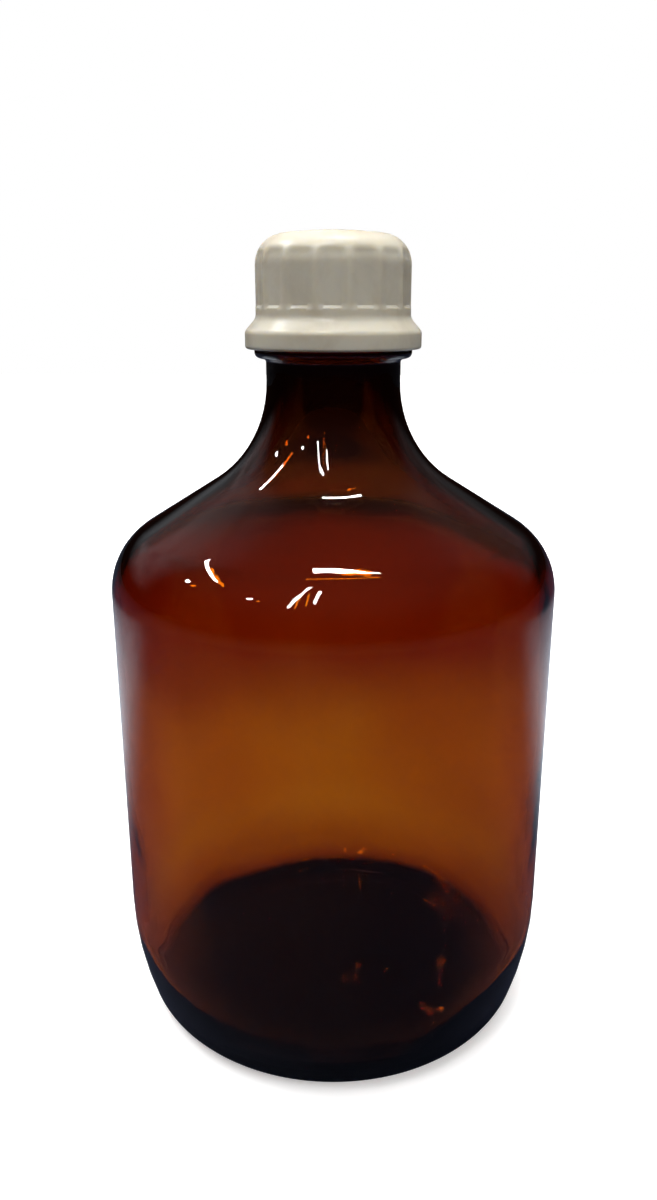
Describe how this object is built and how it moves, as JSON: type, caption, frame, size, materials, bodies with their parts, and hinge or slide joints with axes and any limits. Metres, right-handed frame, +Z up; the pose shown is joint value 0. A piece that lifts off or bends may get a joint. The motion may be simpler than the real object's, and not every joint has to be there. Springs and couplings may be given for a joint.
{
  "type": "reagent bottle",
  "caption": "Round amber glass laboratory bottle with sloping shoulders, a flared neck and a ribbed plastic screw cap with a sealing liner.",
  "frame": {"origin": "middle of the base, on the surface that the bottle stands on", "axes": "+Z up along the bottle's axis; the cap is screwed down; -Y is the front"},
  "size_m": [0.1364, 0.1364, 0.2434],
  "materials": {
    "amber_glass": "clear amber blown glass",
    "cap_plastic": "satin ivory polyethylene, slightly yellowed",
    "liner_foam": "dull white foamed polyethylene",
    "liner_film": "smooth white film"
  },
  "bodies": {
    "bottle": {"glass_bottle": "amber_glass"},
    "liner": {"liner_backing": "liner_foam", "liner_facing": "liner_film"},
    "cap": {"screw_cap": "cap_plastic"}
  },
  "joints": [
    {"name": "cap_lift", "type": "slide", "parent": "bottle", "child": "liner", "axis": [0, 0, 1], "range_m": [0, 0.0342]},
    {"name": "cap_turn", "type": "hinge", "parent": "liner", "child": "cap", "pos_m": [0, 0, 0.237], "axis": [0, 0, 1], "range_deg": [0, 3060]}
  ],
  "couplings": [
    {"joint": "cap_lift", "follows": "cap_turn", "m_per_rad": 0.00063662}
  ]
}
